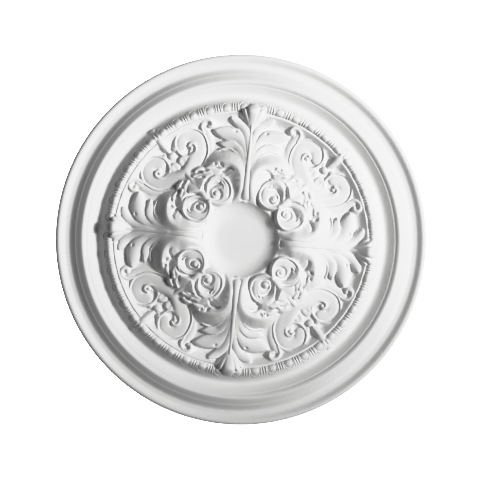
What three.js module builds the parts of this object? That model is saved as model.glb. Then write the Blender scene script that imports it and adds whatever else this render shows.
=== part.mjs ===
// Ceiling rose: one round casting with a flat back, turned mouldings, a ring of
// eggs and darts, and four acanthus leaves alternating with four scroll groups.
//
// Millimetres, +Z up. The origin is the centre of the flat back, the carved face
// looks along -Y, and the four leaves point along X and Z.
//
// The carving is a height over the back, drawn in plan: x across a leaf, y outward
// from the centre along its spine. One eighth of the rose, from a leaf's spine to the
// diagonal beside it, is carved on a fine grid, thinned to the facets its shape needs,
// then mirrored and turned round the rose, so that all eight edges meet exactly.

import * as THREE from 'three';
import { mergeVertices } from 'three/addons/utils/BufferGeometryUtils.js';

// Driving sizes
const ROSE_RADIUS = 300;
const DEPTH = 55;
const DISH_RADIUS = 37;
const DISH_FLOOR = 27.5;
const FIELD_RADIUS = 203;
const CARVED_RADIUS = 227;
const EDGE_THICKNESS = 5;

// Ring of eggs and darts, angles in degrees from a leaf's spine
const EGG_PITCH = 7.5;
const FIRST_EGG = 4.1;
const EGGS_PER_EIGHTH = 5;
const EGG_INNER = 206;
const EGG_OUTER = 222;
const EGG_HALF_WIDTH = 7.2;
const EGG_RISE = 3.5;
const EGG_MIDDLE = 0.4;
const EGG_REACH = 0.6;
const DART_HALF_WIDTH = 3;
const DART_RISE = 2;

// Carved ridges: fall from crest to shoulder over one half width, then the draft of
// the walls
const SHOULDER = 0.45;
const HOOD_SHOULDER = 0.95;
const WALL_SLOPE = 3;
const LINE_SAMPLES = 28;

// Grid and facets of one eighth
const GRID_STEP = 1.8;
const GRID_COLUMNS = 54;
const EDGE_SEGMENTS = 9;
const EIGHTH_FACETS = 850;

// Least plan area of a thinned facet, twice over, and the cosine of its furthest turn
const LEAST_PLAN_AREA = 0.05;
const LEAST_TURN = 0.3;

const ROSE_COLOUR = 0xf2f1ee;

// Turned section under the carving, from the middle of the dish outward,
// [radius, height]
const FIELD_SECTION = [
  [0, DISH_FLOOR],
  [DISH_RADIUS, DISH_FLOOR],
  [46, 29.3],
  [53, 33.2],
  [58.5, 39.5],
  [62.5, 40.5],
  [65, 39.3],
  [82, 39],
  [105, 32],
  [130, 22.5],
  [155, 16.5],
  [180, 13.9],
  [192, 15.4],
  [FIELD_RADIUS - 2.5, 21],
  [FIELD_RADIUS - 1.5, 23],
  [FIELD_RADIUS + 1.5, 23],
  [FIELD_RADIUS + 3, 19.8],
  [210, 22],
  [214, 22.2],
  [219, 19.3],
  [CARVED_RADIUS, 12.4],
];

// Turned mouldings outside the carving, out to the edge
const MOULDING_SECTION = [
  [CARVED_RADIUS, 12.4],
  [231, 9.5],
  [235, 8.3],
  [239, 9.2],
  [244.5, 12.7],
  [249.5, 15.8],
  [253.5, 18.9],
  [257, 20],
  [260.5, 19.3],
  [267, 15.7],
  [274, 11.3],
  [279, 7.1],
  [284, 7.1],
  [289, 9.3],
  [294, 11],
  [298, 9.6],
  [ROSE_RADIUS, EDGE_THICKNESS],
  [ROSE_RADIUS, 0],
];

// Height of a turned section at a radius.
function sectionHeight(section, radius) {
  for (let i = 1; i < section.length; i += 1) {
    const [outer, outerHeight] = section[i];
    if (radius <= outer) {
      const [inner, innerHeight] = section[i - 1];
      return THREE.MathUtils.mapLinear(radius, inner, outer, innerHeight, outerHeight);
    }
  }
  return section[section.length - 1][1];
}

// A value read along a list of stations, with t running from 0 to 1.
function along(stations, t) {
  const place = t * (stations.length - 1);
  const low = Math.min(Math.floor(place), stations.length - 2);
  return THREE.MathUtils.lerp(stations[low], stations[low + 1], place - low);
}

// A smooth line through plan points.
function drawn(points) {
  return new THREE.SplineCurve(points.map(([x, y]) => new THREE.Vector2(x, y)));
}

// A scroll winding in from one radius to another about its eye. Angles in degrees.
class Scroll extends THREE.Curve {
  constructor(eye, startRadius, endRadius, startAngle, sweep) {
    super();
    this.eye = eye;
    this.startRadius = startRadius;
    this.shrink = Math.log(endRadius / startRadius);
    this.startAngle = THREE.MathUtils.degToRad(startAngle);
    this.sweep = THREE.MathUtils.degToRad(sweep);
  }

  getPoint(t, target = new THREE.Vector2()) {
    const radius = this.startRadius * Math.exp(this.shrink * t);
    const angle = this.startAngle + this.sweep * t;
    const x = this.eye[0] + radius * Math.cos(angle);
    const y = this.eye[1] + radius * Math.sin(angle);
    return target.set(x, y);
  }
}

// A carved ridge along a plan line, as a height at any plan point. Its crest and its
// half width change along the line; past the shoulders it falls away steeply.
function ridge(line, crests, halfWidths, shoulder = SHOULDER) {
  const stations = [];
  for (let i = 0; i <= LINE_SAMPLES; i += 1) {
    const t = i / LINE_SAMPLES;
    const place = line.getPoint(t);
    stations.push({ place, crest: along(crests, t), half: along(halfWidths, t) });
  }
  return (x, y) => {
    let height = -Infinity;
    for (let i = 1; i < stations.length; i += 1) {
      const from = stations[i - 1];
      const to = stations[i];
      const runX = to.place.x - from.place.x;
      const runY = to.place.y - from.place.y;
      const offX = x - from.place.x;
      const offY = y - from.place.y;
      const share = (offX * runX + offY * runY) / (runX * runX + runY * runY);
      const t = THREE.MathUtils.clamp(share, 0, 1);
      const away = Math.hypot(offX - t * runX, offY - t * runY);
      const half = THREE.MathUtils.lerp(from.half, to.half, t);
      const crest = THREE.MathUtils.lerp(from.crest, to.crest, t);
      const past = Math.max(0, away - half);
      const fall = shoulder * (away - past) + WALL_SLOPE * past;
      height = Math.max(height, crest - fall);
    }
    return height;
  };
}

// A rounded boss standing on the field, as a height at any plan point.
function boss(x0, y0, radius, top, rise) {
  return (x, y) => {
    const away = Math.hypot(x - x0, y - y0) / radius;
    const round = top - rise + rise * Math.sqrt(Math.max(0, 1 - away * away));
    return away < 1 ? round : top - rise - WALL_SLOPE * radius * (away - 1);
  };
}

// Acanthus leaf: its spine, the hood round the volute, then the second lobe's three
// points, the third lobe and the side of the tip, for one half
const LEAF = [
  ridge(
    drawn([[0, 62], [0, 208]]),
    [41, 52.5, DEPTH, 53.5, 48, 41, 34.5, 29.5, 26, 25.5, 34.5, 29],
    [6, 7, 7, 6, 6, 6, 6, 6, 7, 11, 13, 9],
  ),
  ridge(
    drawn([[9, 83], [10, 99], [16, 112], [27, 119], [40, 121], [52, 119], [63, 114]]),
    [53, 52, 47.5, 44, 41, 37, 30],
    [7, 9, 11, 14, 15, 13, 8],
    HOOD_SHOULDER,
  ),
  ridge(
    drawn([[4, 136], [9, 154], [18, 165], [31, 169], [45, 170], [60, 172]]),
    [32.5, 26.5, 25.5, 26.5, 27.5, 26],
    [5, 9, 9, 8, 6, 1.5],
  ),
  ridge(
    drawn([[6, 125], [13, 143], [23, 150], [34, 152], [49, 154]]),
    [38, 29.5, 27, 26.5, 25],
    [6, 9, 7, 4.5, 1.5],
  ),
  ridge(
    drawn([[6, 120], [14, 133], [24, 140], [36, 143], [48, 144]]),
    [41, 32, 28, 26, 23],
    [5, 7, 5, 3.5, 1.5],
  ),
  ridge(
    drawn([[3, 156], [8, 173], [17, 184], [27, 190], [36, 193]]),
    [25, 22, 24, 26, 25],
    [5, 8, 8, 6, 1.5],
  ),
  ridge(drawn([[3, 172], [8, 186], [15, 195], [22, 201]]), [21, 25, 30, 29], [5, 7, 7, 2]),
];

// Scrolls: the volute beside the dish with its eye, the outer scroll's rim and hook,
// and the stem that ends in a small curl under the fillet
const VOLUTE_EYE = [45.5, 69];
const SCROLL_EYE = [93, 142];
const SCROLL_RADIUS = 26;

const SCROLLS = [
  boss(VOLUTE_EYE[0], VOLUTE_EYE[1] + 6, 22, 42, 1),
  ridge(new Scroll(VOLUTE_EYE, 28, 6, 40, 520), [44, 46, 47, 48, 48.5], [4, 3.5, 3, 3, 2.5]),
  boss(VOLUTE_EYE[0], VOLUTE_EYE[1], 4.5, 49.5, 4),
  ridge(new Scroll(SCROLL_EYE, SCROLL_RADIUS, SCROLL_RADIUS, 215, -230), [23, 20, 19], [2, 2, 2]),
  ridge(new Scroll(SCROLL_EYE, 23, 5, -45, -265), [20, 21, 23, 23], [3, 4.5, 4.5, 3]),
  ridge(
    drawn([[100, 101], [84, 104], [74, 112], [67, 130], [70, 152], [79, 177]]),
    [30, 30, 27, 22, 20, 20],
    [2.5, 2.5, 2.5, 2.5, 2.5, 3],
  ),
  ridge(new Scroll([70, 181], 11, 4.5, -25, 290), [20, 20, 20], [3, 3, 2]),
];

// Diagonal group: the leaf cluster behind the volutes, the petals and berries, and the
// tongue across the ring of eggs
const DIAGONAL = Math.SQRT1_2;

const CLUSTER = [
  ridge(drawn([[76, 92], [64, 103], [48, 110]]), [44, 42, 35], [6, 7, 3]),
  ridge(drawn([[70, 82], [81, 87], [92, 94]]), [50, 46, 37], [6, 6, 3]),
  ridge(
    drawn([[66 * DIAGONAL, 66 * DIAGONAL], [150 * DIAGONAL, 150 * DIAGONAL]]),
    [44, 50, 49, 40, 30, 22],
    [6, 8, 9, 8, 6, 5],
  ),
  boss(103, 116, 8, 22, 4),
  boss(118.5, 125, 4.5, 22.5, 4),
  boss(121.5, 134, 4.5, 22, 4),
  ridge(
    drawn([[178 * DIAGONAL, 178 * DIAGONAL], [226 * DIAGONAL, 226 * DIAGONAL]]),
    [19, 24, 29, 26, 18],
    [3, 6, 10, 12, 12],
  ),
];

const CARVING = [...LEAF, ...SCROLLS, ...CLUSTER];

// Eggs and darts, as a rise over the band that carries them.
function ringRise(radius, angle) {
  if (radius < EGG_INNER || radius > EGG_OUTER) {
    return 0;
  }
  const last = EGGS_PER_EIGHTH - 1;
  const eggPlace = THREE.MathUtils.clamp(Math.round((angle - FIRST_EGG) / EGG_PITCH), 0, last);
  const dartPlace = THREE.MathUtils.clamp(Math.floor((angle - FIRST_EGG) / EGG_PITCH), 0, last);
  const eggAngle = FIRST_EGG + eggPlace * EGG_PITCH;
  const dartAngle = FIRST_EGG + (dartPlace + 0.5) * EGG_PITCH;
  const eggSide = radius * THREE.MathUtils.degToRad(angle - eggAngle) / EGG_HALF_WIDTH;
  const dartSide = radius * THREE.MathUtils.degToRad(angle - dartAngle) / DART_HALF_WIDTH;
  const lengthwise = (radius - EGG_INNER) / (EGG_OUTER - EGG_INNER);
  const rounded = 1 - eggSide ** 2 - ((lengthwise - EGG_MIDDLE) / EGG_REACH) ** 2;
  const eggRise = EGG_RISE * Math.sqrt(Math.max(0, rounded));
  const dartRise = DART_RISE * Math.max(0, 1 - Math.abs(dartSide)) * Math.sin(Math.PI * lengthwise);
  return Math.max(eggRise, dartRise);
}

// Height of the carved face at a plan point of the eighth. Every line lies in the eighth,
// so nothing of its mirrored neighbours stands higher.
function faceHeight(x, y) {
  const radius = Math.hypot(x, y);
  const angle = THREE.MathUtils.radToDeg(Math.atan2(x, y));
  let height = sectionHeight(FIELD_SECTION, radius) + ringRise(radius, angle);
  if (radius < DISH_RADIUS || radius >= CARVED_RADIUS) {
    return height;
  }
  for (const shape of CARVING) {
    height = Math.max(height, shape(x, y));
  }
  return height;
}

// What a point of the eighth may do when facets are thinned out
const FREE = 0;
const ON_SPINE = 1;
const ON_DIAGONAL = 2;
const FIXED = 3;

// The carved eighth on a fine grid, ending outward on the straight segments that the
// mouldings start from.
function fineEighth() {
  const points = [];
  const kinds = [];
  const facets = [];
  const rows = Math.round(CARVED_RADIUS / GRID_STEP);
  const place = (radius, share, kind) => {
    const angle = share * Math.PI / 4;
    const x = share === 0 ? 0 : radius * (share === 1 ? DIAGONAL : Math.sin(angle));
    const y = radius * (share === 1 ? DIAGONAL : Math.cos(angle));
    points.push([x, y, faceHeight(x, y)]);
    kinds.push(kind);
  };
  place(0, 0, FIXED);
  for (let i = 1; i < rows; i += 1) {
    for (let j = 0; j <= GRID_COLUMNS; j += 1) {
      const edge = j === 0 ? ON_SPINE : ON_DIAGONAL;
      const inside = j > 0 && j < GRID_COLUMNS;
      place(i * CARVED_RADIUS / rows, j / GRID_COLUMNS, inside ? FREE : edge);
    }
  }
  for (let j = 0; j <= EDGE_SEGMENTS; j += 1) {
    place(CARVED_RADIUS, j / EDGE_SEGMENTS, FIXED);
  }
  const at = (i, j) => 1 + (i - 1) * (GRID_COLUMNS + 1) + j;
  for (let j = 0; j < GRID_COLUMNS; j += 1) {
    facets.push([0, at(1, j + 1), at(1, j)]);
    for (let i = 1; i < rows - 1; i += 1) {
      facets.push([at(i, j), at(i, j + 1), at(i + 1, j)]);
      facets.push([at(i, j + 1), at(i + 1, j + 1), at(i + 1, j)]);
    }
  }
  const share = GRID_COLUMNS / EDGE_SEGMENTS;
  const rim = at(rows, 0);
  for (let k = 0; k < EDGE_SEGMENTS; k += 1) {
    for (let m = 0; m < share; m += 1) {
      const j = k * share + m;
      facets.push([at(rows - 1, j), at(rows - 1, j + 1), rim + k + (m < share / 2 ? 0 : 1)]);
    }
    facets.push([at(rows - 1, k * share + share / 2), rim + k + 1, rim + k]);
  }
  return { points, kinds, facets };
}

// Squared distance of a point from a set of planes, kept as ten sums.
function addPlane(sums, normal, offset, weight) {
  const [a, b, c] = normal;
  const terms = [a * a, a * b, a * c, a * offset, b * b, b * c, b * offset, c * c, c * offset];
  terms.push(offset * offset);
  terms.forEach((term, i) => {
    sums[i] += term * weight;
  });
}

function planeError(sums, [x, y, z]) {
  const squares = sums[0] * x * x + sums[4] * y * y + sums[7] * z * z;
  const products = sums[1] * x * y + sums[2] * x * z + sums[5] * y * z;
  const singles = sums[3] * x + sums[6] * y + sums[8] * z;
  return squares + 2 * products + 2 * singles + sums[9];
}

function cross(p, q, r) {
  const [ux, uy, uz] = [q[0] - p[0], q[1] - p[1], q[2] - p[2]];
  const [vx, vy, vz] = [r[0] - p[0], r[1] - p[1], r[2] - p[2]];
  return [uy * vz - uz * vy, uz * vx - ux * vz, ux * vy - uy * vx];
}

// Thin the eighth to a number of facets by drawing edges together, cheapest first. The
// face stays a single height over the back, and its edges stay on their planes.
function thinned({ points, kinds, facets }, wanted) {
  const around = points.map(() => new Set());
  const sums = points.map(() => new Float64Array(10));
  const alive = facets.map(() => true);
  const stamps = new Uint32Array(points.length);
  let count = facets.length;
  facets.forEach((facet, f) => {
    const [p, q, r] = facet.map((v) => points[v]);
    const normal = cross(p, q, r);
    const size = Math.hypot(...normal);
    const unit = normal.map((part) => part / size);
    const offset = -(unit[0] * p[0] + unit[1] * p[1] + unit[2] * p[2]);
    for (const v of facet) {
      around[v].add(f);
      addPlane(sums[v], unit, offset, size / 2);
    }
  });

  const neighbours = (v) => {
    const found = new Set();
    for (const f of around[v]) {
      facets[f].forEach((other) => found.add(other));
    }
    found.delete(v);
    return found;
  };

  // Where two points may be drawn together, or nothing
  const places = (a, b) => {
    const [p, q] = [points[a], points[b]];
    if (kinds[a] === kinds[b]) {
      return kinds[a] === FIXED ? [] : [p, q, p.map((part, i) => (part + q[i]) / 2)];
    }
    if (kinds[a] === FREE || kinds[b] === FIXED) {
      return [q];
    }
    return kinds[b] === FREE || kinds[a] === FIXED ? [p] : [];
  };

  const heap = [];
  const swap = (i, j) => {
    const kept = heap[i];
    heap[i] = heap[j];
    heap[j] = kept;
  };
  const offer = (a, b) => {
    let best = null;
    for (const place of places(a, b)) {
      const cost = planeError(sums[a], place) + planeError(sums[b], place);
      if (!best || cost < best.cost) {
        best = { a, b, place, cost, stampA: stamps[a], stampB: stamps[b] };
      }
    }
    if (!best) {
      return;
    }
    let i = heap.push(best) - 1;
    while (i > 0 && heap[(i - 1) >> 1].cost > heap[i].cost) {
      swap(i, (i - 1) >> 1);
      i = (i - 1) >> 1;
    }
  };
  const cheapest = () => {
    const top = heap[0];
    const end = heap.pop();
    if (heap.length) {
      heap[0] = end;
    }
    let i = 0;
    for (;;) {
      let least = i;
      for (const child of [2 * i + 1, 2 * i + 2]) {
        if (child < heap.length && heap[child].cost < heap[least].cost) {
          least = child;
        }
      }
      if (least === i) {
        return top;
      }
      swap(i, least);
      i = least;
    }
  };

  // Whether the facets round a point still face outward once it has moved
  const staysOpen = (v, other, place) => {
    for (const f of around[v]) {
      if (facets[f].includes(other)) {
        continue;
      }
      const before = cross(...facets[f].map((w) => points[w]));
      const after = cross(...facets[f].map((w) => (w === v ? place : points[w])));
      const sizes = Math.hypot(...before) * Math.hypot(...after);
      const turn = (before[0] * after[0] + before[1] * after[1] + before[2] * after[2]) / sizes;
      if (after[2] < LEAST_PLAN_AREA || turn < LEAST_TURN) {
        return false;
      }
    }
    return true;
  };

  for (let v = 0; v < points.length; v += 1) {
    for (const w of neighbours(v)) {
      if (v < w) {
        offer(v, w);
      }
    }
  }
  while (count > wanted && heap.length) {
    const { a, b, place, stampA, stampB } = cheapest();
    if (stampA !== stamps[a] || stampB !== stamps[b]) {
      continue;
    }
    const shared = [...around[a]].filter((f) => around[b].has(f));
    const near = neighbours(b);
    const common = [...neighbours(a)].filter((w) => near.has(w));
    const closes = common.length === shared.length && shared.length > 0;
    if (!closes || !staysOpen(a, b, place) || !staysOpen(b, a, place)) {
      continue;
    }
    for (const f of shared) {
      alive[f] = false;
      facets[f].forEach((v) => around[v].delete(f));
      count -= 1;
    }
    for (const f of around[b]) {
      facets[f] = facets[f].map((v) => (v === b ? a : v));
      around[a].add(f);
    }
    around[b].clear();
    points[a] = place;
    kinds[a] = Math.max(kinds[a], kinds[b]);
    sums[a] = sums[a].map((part, i) => part + sums[b][i]);
    stamps[a] += 1;
    stamps[b] += 1;
    for (const w of neighbours(a)) {
      offer(a, w);
    }
  }
  return { points, facets: facets.filter((facet, f) => alive[f]) };
}

// The eight ways an eighth is laid round the rose, each with whether it is mirrored
const PLACINGS = [
  [([x, y, z]) => [x, y, z], false],
  [([x, y, z]) => [y, x, z], true],
  [([x, y, z]) => [y, -x, z], false],
  [([x, y, z]) => [x, -y, z], true],
  [([x, y, z]) => [-x, -y, z], false],
  [([x, y, z]) => [-y, -x, z], true],
  [([x, y, z]) => [-y, x, z], false],
  [([x, y, z]) => [-x, y, z], true],
];

// Mouldings, edge and back of one eighth, on the segments the carving ends on.
function turnedEighth() {
  const points = [];
  const facets = [];
  const columns = EDGE_SEGMENTS + 1;
  for (const [radius, height] of MOULDING_SECTION) {
    for (let j = 0; j < columns; j += 1) {
      const angle = j / EDGE_SEGMENTS * Math.PI / 4;
      const last = j === EDGE_SEGMENTS;
      const x = j === 0 ? 0 : radius * (last ? DIAGONAL : Math.sin(angle));
      points.push([x, radius * (last ? DIAGONAL : Math.cos(angle)), height]);
    }
  }
  points.push([0, 0, 0]);
  const middle = points.length - 1;
  const back = (MOULDING_SECTION.length - 1) * columns;
  for (let j = 0; j < EDGE_SEGMENTS; j += 1) {
    for (let i = 0; i < MOULDING_SECTION.length - 1; i += 1) {
      const a = i * columns + j;
      facets.push([a, a + 1, a + columns]);
      facets.push([a + 1, a + 1 + columns, a + columns]);
    }
    facets.push([back + j, back + j + 1, middle]);
  }
  return { points, facets };
}

// The whole casting as one closed skin, with the points that meet merged.
function castRose() {
  const positions = [];
  const indices = [];
  const eighths = [thinned(fineEighth(), EIGHTH_FACETS), turnedEighth()];
  for (const [lay, flipped] of PLACINGS) {
    for (const { points, facets } of eighths) {
      const first = positions.length / 3;
      for (const point of points) {
        positions.push(...lay(point));
      }
      for (const [p, q, r] of facets) {
        indices.push(first + p, first + (flipped ? r : q), first + (flipped ? q : r));
      }
    }
  }
  const loose = new THREE.BufferGeometry();
  loose.setAttribute('position', new THREE.Float32BufferAttribute(positions, 3));
  loose.setIndex(indices);
  return mergeVertices(loose, 1e-3);
}

const skin = castRose();
skin.computeVertexNormals();

const material = new THREE.MeshStandardMaterial({
  color: ROSE_COLOUR,
  roughness: 0.7,
  metalness: 0,
});

const rose = new THREE.Mesh(skin, material);
rose.name = 'ceiling_rose';

// Stood up so that the face looks along -Y
const group = new THREE.Group();
group.rotation.x = Math.PI / 2;
group.add(rose);

export default group;
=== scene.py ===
"""Ceiling rose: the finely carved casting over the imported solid, with its finish, light and camera.

The carving is a height over the flat back, drawn in plan on one eighth of the rose, from the spine of
a leaf (x = 0) to the diagonal beside it (x = y). Plan points and half widths are in parts, 185 to the
rose's radius; heights and the turned section are in millimetres over the back.

A raised line is given as its points, crest heights and half widths, a cut line as its points, depths and
half widths, a boss as its centre, radius and top, and a sheet as its outline, middle line, heights along
that line and bend across it.
"""

import math

import bmesh
import bpy
import numpy as np
from mathutils import Matrix, Vector


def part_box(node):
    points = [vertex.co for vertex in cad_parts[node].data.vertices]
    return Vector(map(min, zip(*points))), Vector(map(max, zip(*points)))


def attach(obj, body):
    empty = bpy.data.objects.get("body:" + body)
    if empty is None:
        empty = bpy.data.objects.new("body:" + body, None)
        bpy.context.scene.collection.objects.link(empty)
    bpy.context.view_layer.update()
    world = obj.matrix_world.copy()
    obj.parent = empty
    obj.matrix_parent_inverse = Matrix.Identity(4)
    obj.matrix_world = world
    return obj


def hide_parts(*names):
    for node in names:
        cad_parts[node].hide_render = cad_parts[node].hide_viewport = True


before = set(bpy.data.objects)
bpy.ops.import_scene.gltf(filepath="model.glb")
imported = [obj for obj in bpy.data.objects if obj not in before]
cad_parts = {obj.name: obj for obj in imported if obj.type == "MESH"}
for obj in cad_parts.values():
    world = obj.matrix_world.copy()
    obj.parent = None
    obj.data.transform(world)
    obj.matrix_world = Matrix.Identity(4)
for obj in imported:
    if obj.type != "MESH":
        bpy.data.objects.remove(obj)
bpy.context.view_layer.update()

# Sizes from the frame
NODE = "ceiling_rose"
low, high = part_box(NODE)
MM = 0.001
ROSE_RADIUS = (high[0] - low[0]) / 2 / MM
RADIUS_PARTS = 185
PART = ROSE_RADIUS / RADIUS_PARTS
DIAGONAL = math.sqrt(0.5)

# Grid of the carved eighth, radii and step in mm, and the facets it is thinned to
FLOOR_ROWS = [12, 24]
FLOOR_RADIUS = 34
DISH_RIM = 59.5
CARVED_RADIUS = 227
GRID_STEP = 0.75
GRID_COLUMNS = 230
EIGHTH_FACETS = 15600

# Turned rows: steps between two points of the section, and the least gap to the first row in mm
SECTION_STEPS = 4
FIRST_ROW_GAP = 0.2

# Joining the eighths: distances in mm, and the angle over which an edge is left sharp
SNAP = 0.02
WELD = 0.002
SHARP_ANGLE = math.radians(65)

# Ring of eggs and darts: angles in degrees from a spine, sizes in mm
FIRST_EGG = 4.1
EGG_PITCH = 7.5
EGGS_PER_EIGHTH = 6
EGG_SHOULDER = 213.5
EGG_LENGTH = 7.2
EGG_HALF_WIDTH = 6.6
EGG_RISE = 2.8
EGG_FULLNESS = 2.4
EGG_RIM_LENGTH = 8.4
EGG_RIM_HALF_WIDTH = 7.7
EGG_RIM_RISE = 1.9
EGG_RIM_SOFTNESS = 0.12
RIB_SPACING = 4
RIB_HALF_WIDTH = 1.05
RIB_RISE = 2.4
RIB_END = 221.5
RIB_FADE = 3
RING_START = 205.4
RING_END = 223
RING_START_FADE = 2
RING_END_FADE = 1

# Turned section, dish to back: radius and height in mm, a point given twice being a sharp corner
SECTION = [
    (0, 27.5), (18, 27.5), (36, 27.5), (43, 28.4), (49, 30.6), (54, 33.7), (58, 37.6),
    (59, 38.9), (59, 38.9), (62.4, 39.6), (62.4, 39.6), (63.4, 38.6), (63.4, 38.6),
    (72, 39.2), (82, 39), (105, 32), (130, 22.5), (155, 16.2), (170, 13.4), (180, 12.2), (186, 12),
    (190, 12.6), (194, 14.9), (198, 18.3), (201, 20.9), (203.2, 22.6), (203.2, 22.6),
    (204.6, 22.6), (204.6, 22.6), (205.2, 20.7), (205.2, 20.7),
    (206.4, 20.8), (208.4, 22.4), (210.4, 23.6), (212.4, 23.8), (214.4, 22.9), (217, 20.6), (220, 17.4),
    (223, 13.8), (226.2, 10.3), (228.6, 8.2), (231, 7.1), (233.4, 7), (236, 7.9), (239, 9.8),
    (243, 12.8), (247.4, 15.9), (247.4, 15.9), (249, 16.3), (249, 16.3),
    (251.4, 18.5), (253.6, 19.8), (255.5, 20.1), (257.4, 19.5), (260, 17.9), (263, 15.8),
    (266, 13.7), (266, 13.7), (267.1, 13.3), (267.1, 13.3),
    (270, 10.9), (273, 8), (275.6, 5.8), (277.2, 5.1), (277.2, 5.1), (278, 4.8), (278, 4.8),
    (281, 4.8), (284.5, 5.3), (287.2, 6.9), (290, 9.2), (292.4, 10.7), (294.6, 11.1), (296.8, 10.5),
    (298.7, 8.9), (299.7, 6.6), (300, 4.6), (300, 4.6), (300, 0),
]


def on_spine(*radii):
    """Plan points on the spine at these radii."""
    return [(0, radius) for radius in radii]


def on_diagonal(*radii):
    """Plan points on the diagonal at these radii."""
    return [(radius * DIAGONAL, radius * DIAGONAL) for radius in radii]


def rounded(points, count):
    """A smooth line through points, as count samples."""
    knots = np.asarray(points, float)
    place = np.linspace(0, len(knots) - 1, count)
    i = np.minimum(place.astype(int), len(knots) - 2)
    f = (place - i)[:, None]
    ends = np.vstack([2 * knots[0] - knots[1], knots, 2 * knots[-1] - knots[-2]])
    a, b, c, d = ends[i], ends[i + 1], ends[i + 2], ends[i + 3]
    cubic = (3 * b - a - 3 * c + d) * f**3
    square = (2 * a - 5 * b + 4 * c - d) * f**2
    return 0.5 * (2 * b + (c - a) * f + square + cubic)


def spread(values, count):
    """Station values spread smoothly over count samples."""
    return rounded(np.asarray(values, float)[:, None], count)[:, 0]


# Added to a divisor so that it is never zero
TINY = 1e-12


def nearest(x, y, path, half):
    """How far each point lies off a line in half widths, how far along it, and on which side."""
    off = np.full(x.shape, np.inf)
    share = np.zeros(x.shape)
    side = np.zeros(x.shape)
    for i in range(len(path) - 1):
        run = path[i + 1] - path[i]
        away_x = x - path[i, 0]
        away_y = y - path[i, 1]
        t = np.clip((away_x * run[0] + away_y * run[1]) / (run @ run + TINY), 0, 1)
        away_x = away_x - t * run[0]
        away_y = away_y - t * run[1]
        u = np.hypot(away_x, away_y) / (half[i] + (half[i + 1] - half[i]) * t)
        closer = u < off
        off[closer] = u[closer]
        share[closer] = i + t[closer]
        side[closer] = np.sign(run[0] * away_y - run[1] * away_x)[closer]
    return off, share / (len(path) - 1), side


# Cross sections of the carved lines: fall under the crest in half widths, at v half widths off it
ROUND_DEPTH = 0.8
ROUND_SPAN = 0.97
RIDGE_DEPTH = 0.62
FLAT_DEPTH = 0.25
DOME_DEPTH = 0.4


def round_fall(v):
    """Like part of a circle."""
    return ROUND_DEPTH * (1 - np.sqrt(np.maximum(0, 1 - (ROUND_SPAN * v)**2)))


def ridge_fall(v):
    """Straight down from a sharp crest."""
    return RIDGE_DEPTH * v


def flat_fall(v):
    """Nearly flat, turning down at the edge."""
    return FLAT_DEPTH * v**4


def dome_fall(v):
    """A low dome."""
    return DOME_DEPTH * v**3


# Samples to each point of a line, coarse for raised lines and fine for the rest
COARSE_SAMPLES = 6
FINE_SAMPLES = 8

# Carving, in mm: least half widths, how far lines reach, the hood's lip, and easings
LEAST_RAISE = 0.2
LEAST_CUT = 0.15
RAISE_REACH = 9
HOOD_REACH = 34
HOOD_LIP = 0.8
HOOD_EASE = 2.2
BLEND = 0.5

# Carving: a cut's reach in half widths, the slope of walls, and a boss's length in parts
CUT_REACH = 3
WALL_SLOPE = 2.4
BOSS_LENGTH = 0.1


def blended(a, b, soft):
    """The higher of two surfaces, with the corner between them eased."""
    gap = a - b
    return 0.5 * (a + b + np.sqrt(gap**2 + soft**2) - soft * np.exp(-np.abs(gap) / (2 * soft)))


def near_line(x, y, path, reach):
    """Which points lie in the box round a line."""
    least = path.min(axis=0) - reach
    most = path.max(axis=0) + reach
    return (x > least[0]) & (x < most[0]) & (y > least[1]) & (y < most[1])


def raise_line(z, x, y, points, crests, halves, fall):
    """Raise a carved line over the surface: crest heights in mm, half widths in parts."""
    count = COARSE_SAMPLES * len(points)
    path = rounded(points, count) * PART
    half = np.maximum(spread(halves, count) * PART, LEAST_RAISE)
    close = near_line(x, y, path, half.max() + RAISE_REACH)
    off, share, _ = nearest(x[close], y[close], path, half)
    stations = np.linspace(0, 1, count)
    width = np.interp(share, stations, half)
    down = fall(np.minimum(off, 1)) + WALL_SLOPE * np.maximum(0, off - 1)
    top = np.interp(share, stations, spread(crests, count)) - down * width
    z[close] = blended(z[close], top, BLEND)


def raise_boss(z, x, y, centre, radius, top, fall=round_fall):
    """Raise a round boss."""
    points = [centre, (centre[0], centre[1] + BOSS_LENGTH)]
    raise_line(z, x, y, points, [top, top], [radius, radius], fall)


def cut_line(z, x, y, points, depths, halves):
    """Cut a rounded gap along a line: depths in mm, half widths in parts."""
    count = FINE_SAMPLES * len(points)
    path = rounded(points, count) * PART
    half = np.maximum(spread(halves, count) * PART, LEAST_CUT)
    close = near_line(x, y, path, CUT_REACH * half.max())
    off, share, _ = nearest(x[close], y[close], path, half)
    z[close] -= np.interp(share, np.linspace(0, 1, count), spread(depths, count)) * np.exp(-off**2)


def outside_by(x, y, outline):
    """How far points lie outside a closed outline, nothing inside it."""
    closed = np.vstack([outline, outline[:1]])
    off, _, _ = nearest(x, y, closed, np.ones(len(closed)))
    inside = np.zeros(x.shape, bool)
    for (from_x, from_y), (to_x, to_y) in zip(closed[:-1], closed[1:]):
        crosses = (from_y > y) != (to_y > y)
        share = (y - from_y) / (to_y - from_y if to_y != from_y else 1)
        inside ^= crosses & (x < from_x + share * (to_x - from_x))
    return np.where(inside, 0, off)


def raise_sheet(z, x, y, outline, points, crests, bend, slope=0):
    """Raise a smooth sheet with a sharp outline, highest along its middle line."""
    edge = np.asarray(outline, float) * PART
    close = near_line(x, y, edge, RAISE_REACH)
    count = FINE_SAMPLES * len(points)
    off, share, _ = nearest(x[close], y[close], rounded(points, count) * PART, np.ones(count))
    crest = np.interp(share, np.linspace(0, 1, count), spread(crests, count))
    wall = WALL_SLOPE * outside_by(x[close], y[close], edge)
    z[close] = blended(z[close], crest - slope * off - bend * off**2 - wall, BLEND)


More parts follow.
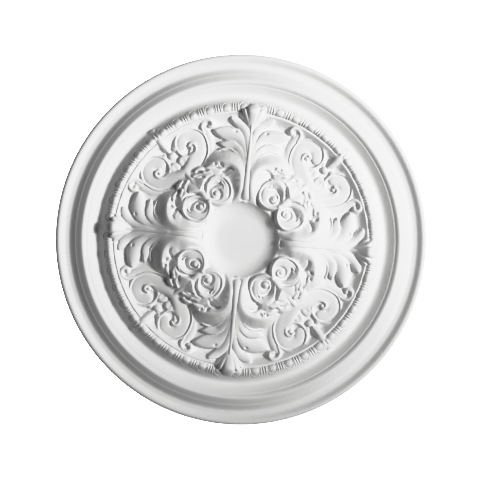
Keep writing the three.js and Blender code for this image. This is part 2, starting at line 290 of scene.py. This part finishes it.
def raise_hood(z, x, y, points, crests, inner_slopes, outer_slopes):
    """Raise the scoop round a volute: its rim is the crest, eased outward and sloping into the bowl."""
    count = FINE_SAMPLES * len(points)
    path = rounded(points, count) * PART
    close = near_line(x, y, path, HOOD_REACH)
    off, share, side = nearest(x[close], y[close], path, np.ones(count))
    stations = np.linspace(0, 1, count)
    eased = off - HOOD_EASE + HOOD_EASE * np.exp(-off / HOOD_EASE)
    outward = np.interp(share, stations, spread(outer_slopes, count)) * eased
    inward = np.interp(share, stations, spread(inner_slopes, count)) * np.maximum(0, off - HOOD_LIP)
    top = np.interp(share, stations, spread(crests, count)) - np.where(side > 0, outward, inward)
    z[close] = blended(z[close], top, BLEND)


# Sheets of the acanthus leaf, from the lobe beside the hood to the tip
LEAF_LOBES = [
    (
        [(1, 58), (6, 66), (10, 76), (15, 82.5), (22, 85), (30, 87), (25, 88.6), (18, 88), (12.5, 85.4),
         (8.6, 80.8), (5.8, 75), (4, 68), (2, 58)],
        [(3.4, 64), (5, 72), (9, 80.5), (16, 85.8), (29, 87.2)],
        [48, 42.5, 35, 28.4, 22.6],
        0.02,
    ),
    (
        [(1, 62), (3.8, 69), (5.6, 75), (8.4, 80.6), (12.4, 85.2), (16.5, 87.2), (21.5, 88.6), (26, 90.4),
         (29.8, 93.2), (25, 95.2), (20.5, 96.2), (15.5, 95.6), (10, 92), (6, 86.6), (3.6, 80.5), (2.2, 74),
         (0, 62)],
        [(2, 66), (3.6, 74), (6, 82), (10, 89), (16, 92.8), (29, 93)],
        [48, 42.4, 35, 29.6, 26.4, 23.2],
        0.03,
    ),
    (
        [(0, 68), (2, 74), (3.5, 80.5), (5.9, 86.8), (10, 92.2), (15.5, 95.8), (20.5, 96.8), (24.6, 97.2),
         (28.6, 98.8), (32.8, 101.8), (36.6, 105.2), (32.6, 108), (25, 109.6), (18.6, 109.6), (13.4, 108.4),
         (9.4, 104.6), (6.2, 98.6), (3.4, 91.5), (1.8, 85), (-1, 76)],
        [(1, 72), (2.4, 82), (5, 91.5), (10, 98.4), (17, 102.6), (26, 104.4), (35.6, 104.8)],
        [46, 36, 29.4, 26, 24.4, 23.2, 22],
        0.03,
    ),
    (
        [(-2, 78), (1.6, 85), (3.2, 91.5), (6, 98.7), (9.2, 104.8), (13, 109.4), (16.4, 113.2),
         (19.6, 116.4), (21.4, 119), (20.2, 120.6), (15.6, 120.4), (11, 118.8), (7.4, 116), (4.4, 112),
         (2, 107), (0.8, 100), (-2, 92)],
        [(0.5, 84), (1.5, 92), (3, 100), (5.8, 107.6), (10, 113.4), (15, 117), (20.4, 119.2)],
        [35.5, 30.6, 26.2, 22.4, 20.8, 21.2, 22],
        0.05,
    ),
    (
        [(-3, 134), (2, 133.4), (4.6, 131.2), (6, 128), (9.2, 129), (10.6, 127.4), (10.4, 125.4),
         (13.4, 126), (14, 124), (12, 121.6), (9, 118.8), (6.4, 116), (3.6, 111), (1.6, 105), (-3, 100)],
        on_spine(101, 105, 108, 111, 114, 117, 121, 125, 128, 131, 134),
        [24.4, 21.6, 20.4, 21.2, 24, 27.6, 32.8, 37.6, 38, 34, 27.4],
        0.03,
    ),
]

# Hood: the rim of the scoop round the volute, its heights, and the slopes into the bowl and outward
HOOD_RIM = [
    (10.5, 36.5), (7.4, 43), (5.6, 51), (6, 61), (9.5, 69), (16, 73.5), (24, 75), (32, 74), (40, 69.5),
]
HOOD_CRESTS = [40.5, 47, 53.5, 52.5, 48, 44.5, 41.5, 37, 30]
HOOD_INNER_SLOPES = [0.55, 0.72, 0.76, 0.68, 0.38, 0.3, 0.33, 0.36, 0.4]
HOOD_OUTER_SLOPES = [0.5, 0.4, 0.35, 0.4, 0.62, 0.92, 1.15, 1.2, 1.2]

# Stem down the spine of the leaf, and the groove at its edge
STEM = (
    on_spine(38.5, 42, 47, 54, 60, 66, 76, 84, 92, 100, 108, 114),
    [42, 47.8, 52.4, 54.4, 53.2, 50, 42.8, 36.6, 32, 27, 22.2, 25],
    [4.3, 3.9, 3.3, 2.8, 2.5, 2.3, 2, 1.8, 1.5, 1.3, 1.1, 0.8],
)
STEM_EDGE = (
    [(0, 38.6), (4.4, 39.6), (3.7, 45), (3, 52), (2.6, 60), (2.3, 68), (2, 76), (1.8, 84), (1.5, 92)],
    [1.4, 1.6, 1.4, 1.2, 1.1, 0.9, 0.8, 0.6, 0.3],
    [0.45, 0.45, 0.45, 0.45, 0.45, 0.4, 0.4, 0.4, 0.4],
)

# Gaps between the lobes, the hood's fingers and the cluster
LEAF_GAPS = [
    ([(14.5, 67.6), (17, 68.8), (20, 68.2), (23, 66.4), (25.4, 62.6)], [2, 6, 7, 7, 3],
     [0.9, 1.2, 1.3, 1.3, 0.9]),
    ([(24.6, 70), (26.4, 71.8), (28, 73.6)], [2, 6, 1.5], [0.9, 1.2, 0.8]),
    ([(31.6, 70.6), (32.6, 71.8), (33.2, 73)], [1.5, 4.5, 1], [0.8, 1, 0.7]),
    ([(40, 56.6), (43.4, 57.4), (47, 56.6)], [1.5, 4, 1.5], [0.8, 1, 0.8]),
    ([(45.5, 62.6), (48.6, 61.8), (51.4, 59.6)], [1.5, 4.5, 1.5], [0.8, 1.1, 0.8]),
    ([(38.5, 65.4), (41, 64.8), (44, 65.6)], [2, 5.5, 2], [0.9, 1.2, 0.8]),
    ([(16.5, 86), (20.5, 87), (25.5, 86.6), (30, 85)], [1, 3, 3, 1], [0.8, 1, 1, 0.8]),
    ([(14.8, 106), (16.2, 106.6)], [3.5, 3.5], [0.9, 0.8]),
    ([(3.6, 112), (5.4, 115), (8.6, 117.8), (12.6, 121)], [0.6, 2, 2.4, 1.2], [0.8, 0.9, 1, 0.9]),
    ([(3, 117), (4.8, 122.6), (6.4, 128.6)], [0.5, 2, 4], [0.8, 1, 1.3]),
    ([(6, 117), (8.6, 121.6), (11, 126)], [0.5, 2, 4], [0.8, 1, 1.2]),
]

# Outer scroll: trumpet, body, a thin bead from the cluster round to the eye, and the curl outside it
TRUMPET = (
    [(40, 70), (38.5, 80), (39, 92), (43, 102), (47, 108)],
    [25, 20, 17.4, 16.8, 17.6],
    [2.5, 4.5, 5, 4, 2.5],
)
SCROLL_BODY = (
    [(57, 61.5), (53, 69), (50.6, 78), (50, 88), (53, 95.6), (60, 97.8), (66.5, 94), (67.5, 86)],
    [26.5, 24, 21, 18.4, 17, 16.4, 16.6, 17.4],
    [7, 8.4, 9, 8.6, 7.2, 6.2, 5.6, 5],
)
SCROLL_BEAD = (
    [(55, 58), (50.9, 60), (46, 67), (42.2, 75), (40.4, 83), (42.2, 92.5), (47.3, 101), (56.7, 105),
     (66.5, 103), (72.8, 96.5), (74.2, 88.5), (71.2, 81.8), (64.5, 77), (57.5, 77.4), (53.6, 81),
     (52.8, 85.6), (54.8, 89.6), (58.4, 90.2), (60.2, 87.6)],
    [28, 28.6, 26, 23, 20.5, 18.8, 17.9, 17.4, 17.4, 17.8, 18.2, 18.8, 19.4, 20, 20.4, 20.6, 20.6, 20.2,
     20],
    [0.7, 0.7, 0.7, 0.7, 0.75, 0.8, 0.8, 0.8, 0.8, 0.8, 0.8, 0.8, 0.9, 1, 1.1, 1.2, 1.2, 1.1, 1],
)
SCROLL_HOLLOW = (
    [(62.5, 80.8), (58.4, 80.9), (56, 83.4), (55.6, 86.6), (57, 88.4)],
    [0.8, 2.4, 3.6, 3.6, 1.6],
    [1.3, 1.3, 1.3, 1.1, 0.8],
)
SCROLL_EYE = ((57.6, 86.2), 1.5, 20.4)
SMALL_CURL = (
    [(46.5, 102), (49, 106.4), (49, 110.8), (46.2, 114.6), (42, 115), (39.2, 112.4), (39.6, 109.4),
     (42.2, 108.8)],
    [18, 19, 20.5, 22, 22.5, 22, 21, 20],
    [1, 1.3, 1.5, 1.6, 1.5, 1.4, 1.4, 1.3],
)

# Petal with its dimple, the berries, and the tongue on the diagonal with the ridge at its side
PETAL = ((64, 71.6), 5.2, 20.2)
PETAL_DIMPLE = ([(63.4, 70.6), (64.6, 72.6)], [1.4, 1.4], [2, 2])
BERRIES = [((75.6, 76.4), 2.8, 19.4), ((73.6, 83.4), 2.3, 18.4)]
TONGUE = (
    on_diagonal(112, 116, 120, 124, 128, 132, 136),
    [18, 21, 23.8, 26, 26, 23, 17],
    [1, 1.6, 2.3, 3, 3.7, 4.2, 4.4],
)
TONGUE_SIDE = (
    [(80.2, 83.2), (84.2, 89), (88, 94.5), (90.5, 98.4)],
    [18, 20.6, 22.6, 20],
    [0.6, 0.7, 0.8, 0.8],
)

# Leaf cluster behind the volutes: the slope down to the scrolls, its stem on the diagonal and leaflets
CLUSTER_OUTLINE = [
    (22.5, 59.5), (24, 62.5), (26, 66), (31, 67.6), (36, 67), (41, 68), (46.7, 67.5), (53, 66.2), (59, 65),
    (62, 56), (50, 40), (44, 42), (36, 54),
]
CLUSTER_TOP = [(24, 59.5), (31, 59), (37, 57), (41.5, 52.5), (44, 47), (45, 42)]
CLUSTER_HEIGHTS = [44, 44.5, 45, 45.5, 46, 46.5]
CLUSTER_BEND = 0
CLUSTER_SLOPE = 0.7
CLUSTER_STEM = (
    on_diagonal(47, 51, 56, 62, 68, 74, 80, 88),
    [45.5, 47.5, 47.5, 45, 41, 36.5, 31.5, 25],
    [2, 2.4, 2.8, 3, 3, 2.8, 2.4, 1.8],
)
CLUSTER_LEAFLETS = [
    ([(33.5, 61.6), (38, 63), (43, 62)], [41, 40.4, 39.5], [1.1, 1.9, 1.1]),
    ([(43, 66), (47, 65.2), (51, 63)], [33, 33, 32.5], [1.1, 1.9, 1.1]),
    ([(44, 59.6), (48, 60), (52, 57.6)], [38, 36.6, 36], [1.1, 1.9, 1.1]),
    ([(31, 70.4), (35.6, 69.8), (40, 67.6)], [37.6, 36.4, 34], [1.1, 1.8, 1.1]),
]

# Volute beside the dish: a disc dipped on its far side, two thin rims, the spiral groove and the eye
VOLUTE_CENTRE = (26.2, 46.4)
VOLUTE_RADIUS = 12.7
VOLUTE_TOP = 45.6
VOLUTE_TILT = 0.07
VOLUTE_DIP = 7
VOLUTE_DIP_WAY = math.radians(40)
VOLUTE_DIP_START = 0.3
VOLUTE_RIMS = [
    (
        [(25, 60), (19.4, 57.2), (15.3, 52), (13.7, 45.6), (15.2, 39.2), (20, 34.9), (26.5, 33.2),
         (33, 34)],
        [44.6, 45.4, 46.2, 46.6, 47.4, 48.2, 48.8, 49],
        [0.6, 0.8, 0.85, 0.85, 0.85, 0.9, 1, 1],
    ),
    (
        [(24.4, 54.4), (21.8, 50.8), (20.8, 46.4), (21.4, 42.6), (24, 39.6), (28, 38.2), (31.4, 39)],
        [43.6, 44.8, 45.6, 46.2, 46.8, 47.4, 47.6],
        [0.5, 0.75, 0.8, 0.85, 0.95, 1, 0.9],
    ),
]
VOLUTE_GROOVE = (
    [(22.8, 51.8), (25.6, 52.2), (29, 51.6), (32.6, 49.4), (34.8, 45.8), (34.6, 41.4), (32.2, 38),
     (28.4, 37), (24.8, 38.8), (23.6, 42.2), (25.2, 45.6), (28.4, 46.6), (31, 45), (31.6, 42.4)],
    [2, 4, 5.5, 6.5, 6.5, 5, 3, 3, 4.5, 5, 4, 3.5, 3.5, 1.5],
    [0.9, 1.2, 1.4, 1.5, 1.5, 1.3, 1, 1, 1.3, 1.3, 1.1, 1, 1, 0.7],
)
VOLUTE_EYE = ((28.2, 42.2), 2.2, 47)
VOLUTE_GAPS = [
    ([(22.6, 51.6), (23.8, 54.2), (26.4, 55.6)], [2, 4.5, 2], [0.9, 1.4, 0.9]),
    ([(23, 57.6), (18.4, 54.4), (15.9, 49.8), (15.4, 45.2), (16.6, 40.6)], [1, 2.5, 3, 2.5, 1],
     [0.8, 1, 1.1, 1, 0.8]),
    ([(32.6, 60.4), (37.2, 57.6), (39.8, 53), (40, 48), (38.4, 43)], [1.5, 5, 6.5, 6, 2],
     [0.9, 1.3, 1.5, 1.4, 1]),
]
CLASP = ((34.3, 34.3), 2.2, 50)


def carve_leaf(z, x, y):
    """Half an acanthus leaf: its lobes, the scoop round the volute and the stem."""
    for lobe in LEAF_LOBES:
        raise_sheet(z, x, y, *lobe)
    raise_hood(z, x, y, HOOD_RIM, HOOD_CRESTS, HOOD_INNER_SLOPES, HOOD_OUTER_SLOPES)
    raise_line(z, x, y, *STEM, round_fall)
    cut_line(z, x, y, *STEM_EDGE)


def carve_scroll(z, x, y):
    """The outer scroll with its eye and the curl under the fillet."""
    raise_line(z, x, y, *TRUMPET, round_fall)
    raise_line(z, x, y, *SCROLL_BODY, flat_fall)
    raise_line(z, x, y, *SCROLL_BEAD, round_fall)
    cut_line(z, x, y, *SCROLL_HOLLOW)
    raise_boss(z, x, y, *SCROLL_EYE)
    raise_line(z, x, y, *SMALL_CURL, round_fall)


def carve_between_scrolls(z, x, y):
    """The petal, the berries and the tongue between two scrolls."""
    raise_boss(z, x, y, *PETAL, flat_fall)
    cut_line(z, x, y, *PETAL_DIMPLE)
    for berry in BERRIES:
        raise_boss(z, x, y, *berry, dome_fall)
    raise_line(z, x, y, *TONGUE, ridge_fall)
    raise_line(z, x, y, *TONGUE_SIDE, ridge_fall)


def carve_cluster(z, x, y):
    """The leaf cluster behind the volutes."""
    raise_sheet(z, x, y, CLUSTER_OUTLINE, CLUSTER_TOP, CLUSTER_HEIGHTS, CLUSTER_BEND, CLUSTER_SLOPE)
    raise_line(z, x, y, *CLUSTER_STEM, round_fall)
    for leaflet in CLUSTER_LEAFLETS:
        raise_line(z, x, y, *leaflet, round_fall)


def raise_volute_disc(z, x, y):
    """Raise the volute's disc, tilted to the dish and dipped on its far side."""
    aside = x / PART - VOLUTE_CENTRE[0]
    along = y / PART - VOLUTE_CENTRE[1]
    reach = np.hypot(aside, along) / VOLUTE_RADIUS
    far = (aside * math.cos(VOLUTE_DIP_WAY) + along * math.sin(VOLUTE_DIP_WAY)) / VOLUTE_RADIUS
    dip = VOLUTE_DIP * np.clip(VOLUTE_DIP_START + far, 0, 1) * np.maximum(0, 1 - reach**2)
    wall = WALL_SLOPE * np.maximum(0, reach - 1) * VOLUTE_RADIUS * PART
    top = VOLUTE_TOP - VOLUTE_TILT * along * PART - dip - wall
    z[:] = blended(z, top, BLEND)


def carve_volute(z, x, y):
    """The volute with its rims, groove and eye, and the clasp between two volutes."""
    raise_volute_disc(z, x, y)
    for gap in VOLUTE_GAPS:
        cut_line(z, x, y, *gap)
    for rim in VOLUTE_RIMS:
        raise_line(z, x, y, *rim, round_fall)
    cut_line(z, x, y, *VOLUTE_GROOVE)
    raise_boss(z, x, y, *VOLUTE_EYE)
    raise_boss(z, x, y, *CLASP)


def carve(z, x, y):
    """Carve the ornament of the eighth onto the turned field."""
    carve_leaf(z, x, y)
    carve_scroll(z, x, y)
    carve_between_scrolls(z, x, y)
    carve_cluster(z, x, y)
    carve_volute(z, x, y)
    for gap in LEAF_GAPS:
        cut_line(z, x, y, *gap)


def stretch(run):
    """A run of the section between two sharp corners, as a dense line."""
    return rounded(run, SECTION_STEPS * (len(run) - 1) + 1)


def turned_line():
    """The turned section as a dense line, rounded between its sharp corners."""
    runs = [[SECTION[0]]]
    for point in SECTION[1:]:
        if point == runs[-1][-1]:
            runs.append([point])
        else:
            runs[-1].append(point)
    return np.vstack([stretch(run)[:-1] for run in runs[:-1]] + [stretch(runs[-1])])


def ring_rise(radius, angle):
    """Rise of the eggs, their rims and the ribs between them over the band."""
    last = EGGS_PER_EIGHTH - 1
    egg = np.clip(np.round((angle - FIRST_EGG) / EGG_PITCH), 0, last)
    dart = np.clip(np.floor((angle - FIRST_EGG) / EGG_PITCH), -1, last)
    egg_side = np.radians(angle - FIRST_EGG - egg * EGG_PITCH) * radius
    dart_side = np.radians(angle - FIRST_EGG - (dart + 0.5) * EGG_PITCH) * radius
    past = np.maximum(0, radius - EGG_SHOULDER)
    egg_reach = np.hypot(egg_side / EGG_HALF_WIDTH, past / EGG_LENGTH)
    rim_reach = np.hypot(egg_side / EGG_RIM_HALF_WIDTH, past / EGG_RIM_LENGTH)
    body = EGG_RISE * np.sqrt(np.maximum(0, 1 - egg_reach**EGG_FULLNESS))
    rim = EGG_RIM_RISE * np.exp(-((rim_reach - 1) / EGG_RIM_SOFTNESS)**2)
    ribs = np.zeros(radius.shape)
    for offset in (-RIB_SPACING, 0, RIB_SPACING):
        ribs = np.maximum(ribs, RIB_RISE * np.exp(-((dart_side - offset) / RIB_HALF_WIDTH)**2))
    ribs *= np.clip((RIB_END - radius) / RIB_FADE, 0, 1)
    start = np.clip((radius - RING_START) / RING_START_FADE, 0, 1)
    end = np.clip((RING_END - radius) / RING_END_FADE, 0, 1)
    return np.maximum(np.maximum(body, rim), ribs) * start * end


def face_height(x, y, section):
    """Height of the face at plan points of the eighth, carved outside the rim of the dish."""
    radius = np.hypot(x, y)
    angle = np.degrees(np.arctan2(x, y))
    z = np.interp(radius, np.maximum.accumulate(section[:, 0]), section[:, 1])
    z += ring_rise(radius, angle)
    carved = z.copy()
    carve(carved, x, y)
    return np.where(radius < DISH_RIM, z, carved)


def outer_height(section):
    """Height at which the carving meets the turned mouldings."""
    return np.interp(CARVED_RADIUS, section[:, 0], section[:, 1])


def carved_eighth(section):
    """The eighth on a fine polar grid: points in mm and triangles."""
    rows = np.concatenate([FLOOR_ROWS, np.arange(FLOOR_RADIUS, CARVED_RADIUS, GRID_STEP), [CARVED_RADIUS]])
    columns = GRID_COLUMNS + 1
    radius, angle = np.meshgrid(rows, np.linspace(0, math.pi / 4, columns), indexing="ij")
    x = (radius * np.sin(angle)).ravel()
    y = (radius * np.cos(angle)).ravel()
    z = face_height(x, y, section)
    z[-columns:] = outer_height(section)
    middle = [[0, 0, section[0, 1]]]
    points = np.vstack([np.stack([x, y, z], axis=1), middle])
    column = np.arange(GRID_COLUMNS)
    corner = np.add.outer(np.arange(len(rows) - 1) * columns, column).ravel()
    first = np.stack([corner, corner + 1, corner + columns], axis=1)
    second = np.stack([corner + 1, corner + columns + 1, corner + columns], axis=1)
    fan = np.stack([np.full(GRID_COLUMNS, len(points) - 1), column + 1, column], axis=1)
    return points, np.vstack([fan, first, second])


def new_mesh(name, points, triangles):
    """A mesh from arrays."""
    mesh = bpy.data.meshes.new(name)
    mesh.from_pydata(points.tolist(), [], triangles.tolist())
    mesh.update()
    return mesh


def thinned(points, triangles, wanted):
    """The same surface with fewer facets, kept where it bends."""
    mesh = new_mesh("eighth", points, triangles)
    piece = bpy.data.objects.new("eighth", mesh)
    bpy.context.collection.objects.link(piece)
    thin = piece.modifiers.new("thin", "DECIMATE")
    thin.ratio = wanted / len(triangles)
    thin.use_collapse_triangulate = True
    result = piece.evaluated_get(bpy.context.evaluated_depsgraph_get()).to_mesh()
    kept = np.empty(len(result.vertices) * 3)
    result.vertices.foreach_get("co", kept)
    result.calc_loop_triangles()
    facets = np.empty(len(result.loop_triangles) * 3, dtype=np.int32)
    result.loop_triangles.foreach_get("vertices", facets)
    bpy.data.objects.remove(piece)
    bpy.data.meshes.remove(mesh)
    return kept.reshape(-1, 3), facets.reshape(-1, 3)


def open_edge_points(triangles):
    """Which points lie on an open edge."""
    sides = [triangles[:, [0, 1]], triangles[:, [1, 2]], triangles[:, [2, 0]]]
    edges, counts = np.unique(np.sort(np.vstack(sides), axis=1), axis=0, return_counts=True)
    return np.unique(edges[counts == 1])


def squared_up(points, triangles, section):
    """Set the open edges exactly on the spine, the diagonal and the carved radius, and give the points on
    that radius in order."""
    edge = open_edge_points(triangles)
    x, y = points[edge, 0], points[edge, 1]
    to_spine = np.abs(x)
    to_diagonal = np.abs(x - y) * DIAGONAL
    to_outer = np.abs(np.hypot(x, y) - CARVED_RADIUS)
    near = np.minimum(np.minimum(to_spine, to_diagonal), to_outer) + SNAP
    outer = edge[to_outer <= near]
    angle = np.arctan2(points[outer, 0], points[outer, 1])
    points[outer, 0] = CARVED_RADIUS * np.sin(angle)
    points[outer, 1] = CARVED_RADIUS * np.cos(angle)
    points[outer, 2] = outer_height(section)
    spine = edge[to_spine <= near]
    points[spine, 0] = 0
    diagonal = edge[to_diagonal <= near]
    shared = points[diagonal, :2].mean(axis=1)
    points[diagonal, 0] = shared
    points[diagonal, 1] = shared
    order = np.argsort(np.arctan2(points[outer, 0], points[outer, 1]))
    return outer[order]


def turned_eighth(points, outer, section):
    """Mouldings, edge and flat back of the eighth, starting from the carving's outer points."""
    way = points[outer, :2] / np.linalg.norm(points[outer, :2], axis=1, keepdims=True)
    added = [points]
    triangles = []
    previous = outer
    count = len(points)
    for radius, height in section[section[:, 0] > CARVED_RADIUS + FIRST_ROW_GAP]:
        current = count + np.arange(len(outer))
        added.append(np.column_stack([way * radius, np.full(len(outer), height)]))
        triangles.append(np.stack([previous[:-1], previous[1:], current[:-1]], axis=1))
        triangles.append(np.stack([previous[1:], current[1:], current[:-1]], axis=1))
        previous = current
        count += len(outer)
    added.append(np.zeros((1, 3)))
    middle = np.full(len(outer) - 1, count)
    triangles.append(np.stack([previous[:-1], previous[1:], middle], axis=1))
    return np.vstack(added), np.vstack(triangles)


def whole_rose(points, triangles):
    """Lay the eighth round the rose eight times, mirrored in turn."""
    x, y, z = points.T
    placings = [((x, y), 1), ((y, x), -1), ((y, -x), 1), ((x, -y), -1)]
    placings += [((-x, -y), 1), ((-y, -x), -1), ((-y, x), 1), ((-x, y), -1)]
    all_points = []
    all_triangles = []
    for i, ((across, up), way) in enumerate(placings):
        all_points.append(np.stack([across, -z, up], axis=1) * MM)
        all_triangles.append(triangles[:, ::way] + i * len(points))
    return np.vstack(all_points), np.vstack(all_triangles)


def casting(name):
    """The carved rose as one closed mesh, face along -Y."""
    section = turned_line()
    points, triangles = thinned(*carved_eighth(section), EIGHTH_FACETS)
    outer = squared_up(points, triangles, section)
    points, turned = turned_eighth(points, outer, section)
    mesh = new_mesh(name, *whole_rose(points, np.vstack([triangles, turned])))
    work = bmesh.new()
    work.from_mesh(mesh)
    bmesh.ops.remove_doubles(work, verts=work.verts, dist=WELD * MM)
    bmesh.ops.recalc_face_normals(work, faces=work.faces)
    work.to_mesh(mesh)
    work.free()
    mesh.shade_smooth()
    mesh.set_sharp_from_angle(angle=SHARP_ANGLE)
    piece = bpy.data.objects.new(name, mesh)
    bpy.context.collection.objects.link(piece)
    return piece


# White primer on the casting: mottle and sprayed grain, with the grain's depth in metres
PRIMER_DARK = (0.80, 0.80, 0.795, 1)
PRIMER_LIGHT = (0.84, 0.84, 0.835, 1)
PRIMER_ROUGHNESS = 0.62
PRIMER_SPECULAR = 0.35
MOTTLE_SCALE = 9
MOTTLE_DETAIL = 6
MOTTLE_DARK_END = 0.3
MOTTLE_LIGHT_END = 0.7
GRAIN_SCALE = 900
GRAIN_DETAIL = 3
GRAIN_STRENGTH = 0.06
GRAIN_DEPTH = 0.0004


def cast_white():
    """White primer: matte, faintly mottled, with a fine sprayed grain."""
    material = bpy.data.materials.new("cast_white")
    material.use_nodes = True
    nodes = material.node_tree.nodes
    links = material.node_tree.links
    shader = nodes["Principled BSDF"]
    place = nodes.new("ShaderNodeTexCoord")
    mottle = nodes.new("ShaderNodeTexNoise")
    mottle.inputs["Scale"].default_value = MOTTLE_SCALE
    mottle.inputs["Detail"].default_value = MOTTLE_DETAIL
    tint = nodes.new("ShaderNodeValToRGB")
    dark, light = tint.color_ramp.elements
    dark.position = MOTTLE_DARK_END
    dark.color = PRIMER_DARK
    light.position = MOTTLE_LIGHT_END
    light.color = PRIMER_LIGHT
    grain = nodes.new("ShaderNodeTexNoise")
    grain.inputs["Scale"].default_value = GRAIN_SCALE
    grain.inputs["Detail"].default_value = GRAIN_DETAIL
    bump = nodes.new("ShaderNodeBump")
    bump.inputs["Strength"].default_value = GRAIN_STRENGTH
    bump.inputs["Distance"].default_value = GRAIN_DEPTH
    links.new(place.outputs["Object"], mottle.inputs["Vector"])
    links.new(place.outputs["Object"], grain.inputs["Vector"])
    links.new(mottle.outputs["Fac"], tint.inputs["Fac"])
    links.new(tint.outputs["Color"], shader.inputs["Base Color"])
    links.new(grain.outputs["Fac"], bump.inputs["Height"])
    links.new(bump.outputs["Normal"], shader.inputs["Normal"])
    shader.inputs["Roughness"].default_value = PRIMER_ROUGHNESS
    shader.inputs["Specular IOR Level"].default_value = PRIMER_SPECULAR
    return material


# Floor, lamps and surroundings, in metres and watts
WHITE = (1, 1, 1, 1)
FLOOR_DROP = 0.62
FLOOR_SIZE = 3.2
FLOOR_COLOUR = (0.85, 0.85, 0.85, 1)
FLOOR_ROUGHNESS = 0.9
FLOOR_GLOW = 0.5
KEY_PLACE = (3.0, -3.1, 0.55)
KEY_AIM = (0, 0, 0.6)
KEY_SIZE = 0.8
KEY_POWER = 20.8
KEY_SPREAD = math.radians(50)
BACK_PLACE = (-0.8, 2.6, 1.6)
BACK_AIM = (0, 0, 0)
BACK_SIZE = 2
BACK_POWER = 12
BACK_SPREAD = math.radians(44)
FILL_LEVEL = 0.045
BACKGROUND_LEVEL = 6


def pale_floor():
    """A pale floor under the rose, with a faint glow of its own and no light sent back onto the rose."""
    bpy.ops.mesh.primitive_plane_add(size=FLOOR_SIZE, location=(0, 0, low[2] - FLOOR_DROP))
    floor = bpy.context.object
    floor.name = "floor"
    pale = bpy.data.materials.new("pale_floor")
    pale.use_nodes = True
    surface = pale.node_tree.nodes["Principled BSDF"].inputs
    surface["Base Color"].default_value = FLOOR_COLOUR
    surface["Roughness"].default_value = FLOOR_ROUGHNESS
    surface["Emission Color"].default_value = WHITE
    surface["Emission Strength"].default_value = FLOOR_GLOW
    floor.data.materials.append(pale)
    floor.visible_diffuse = False


def soft_lamp(name, place, aim, size, power, cone):
    """A round soft lamp at a place, turned to where it aims."""
    light = bpy.data.lights.new(name, "AREA")
    light.shape = "DISK"
    light.size = size
    light.energy = power
    light.spread = cone
    lamp = bpy.data.objects.new(name, light)
    lamp.location = place
    lamp.rotation_euler = (Vector(aim) - Vector(place)).to_track_quat("-Z", "Y").to_euler()
    bpy.context.collection.objects.link(lamp)


def surroundings():
    """White surroundings: a faint fill for the rose, and a brighter background where they are seen."""
    world = bpy.data.worlds.new("surroundings")
    bpy.context.scene.world = world
    world.use_nodes = True
    nodes = world.node_tree.nodes
    links = world.node_tree.links
    fill = nodes["Background"]
    fill.inputs["Color"].default_value = WHITE
    fill.inputs["Strength"].default_value = FILL_LEVEL
    seen = nodes.new("ShaderNodeBackground")
    seen.inputs["Color"].default_value = WHITE
    seen.inputs["Strength"].default_value = BACKGROUND_LEVEL
    ray = nodes.new("ShaderNodeLightPath")
    mix = nodes.new("ShaderNodeMixShader")
    links.new(ray.outputs["Is Camera Ray"], mix.inputs["Fac"])
    links.new(fill.outputs["Background"], mix.inputs[1])
    links.new(seen.outputs["Background"], mix.inputs[2])
    links.new(mix.outputs["Shader"], nodes["World Output"].inputs["Surface"])


def studio():
    """The floor, a soft light from the right, one for the back, and the surroundings."""
    pale_floor()
    soft_lamp("key", KEY_PLACE, KEY_AIM, KEY_SIZE, KEY_POWER, KEY_SPREAD)
    soft_lamp("back", BACK_PLACE, BACK_AIM, BACK_SIZE, BACK_POWER, BACK_SPREAD)
    surroundings()


# Camera: the rose fills 370 of the photograph's 480 pixels and is turned a little clockwise
PHOTO_WIDTH = 480
ROSE_PIXELS = 370
ROSE_CENTRE_X = 240.9
ROSE_CENTRE_Y = 239.65
ROSE_TURN = math.radians(5.5)
LENS = 100
SENSOR = 36


def photograph_camera():
    """A long lens square to the face, rolled so that the rose stands as photographed."""
    pixel = 2 * ROSE_RADIUS * MM / ROSE_PIXELS
    distance = pixel * PHOTO_WIDTH * LENS / SENSOR
    aside = (PHOTO_WIDTH / 2 - ROSE_CENTRE_X) * pixel
    above = (ROSE_CENTRE_Y - PHOTO_WIDTH / 2) * pixel
    data = bpy.data.cameras.new("camera")
    data.lens = LENS
    data.sensor_width = SENSOR
    camera = bpy.data.objects.new("camera", data)
    facing = Matrix.Rotation(math.pi / 2, 4, "X")
    roll = Matrix.Rotation(-ROSE_TURN, 4, "Y")
    camera.matrix_world = roll @ Matrix.Translation((aside, -distance, above)) @ facing
    bpy.context.collection.objects.link(camera)
    bpy.context.scene.camera = camera


# Tones, fitted to the photograph's: scene brightness and the brightness that it is shown at
TONES = [(0, 0), (0.16, 0.135), (0.4, 0.3), (0.6, 0.56), (0.75, 0.735), (0.95, 0.86), (1.2, 0.93)]
COMBINED_CURVE = 3


def photograph_tones():
    """Show the scene through one tone curve for all colours, so that its whites part as photographed."""
    view = bpy.context.scene.view_settings
    view.view_transform = "Standard"
    view.use_curve_mapping = True
    view.curve_mapping.use_clip = False
    curve = view.curve_mapping.curves[COMBINED_CURVE]
    curve.points[0].location = TONES[0]
    curve.points[1].location = TONES[-1]
    for tone in TONES[1:-1]:
        curve.points.new(*tone)
    view.curve_mapping.update()


rose = casting("ceiling_rose_carved")
rose.data.materials.append(cast_white())
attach(rose, "root")
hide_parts(NODE)
studio()
photograph_camera()
photograph_tones()
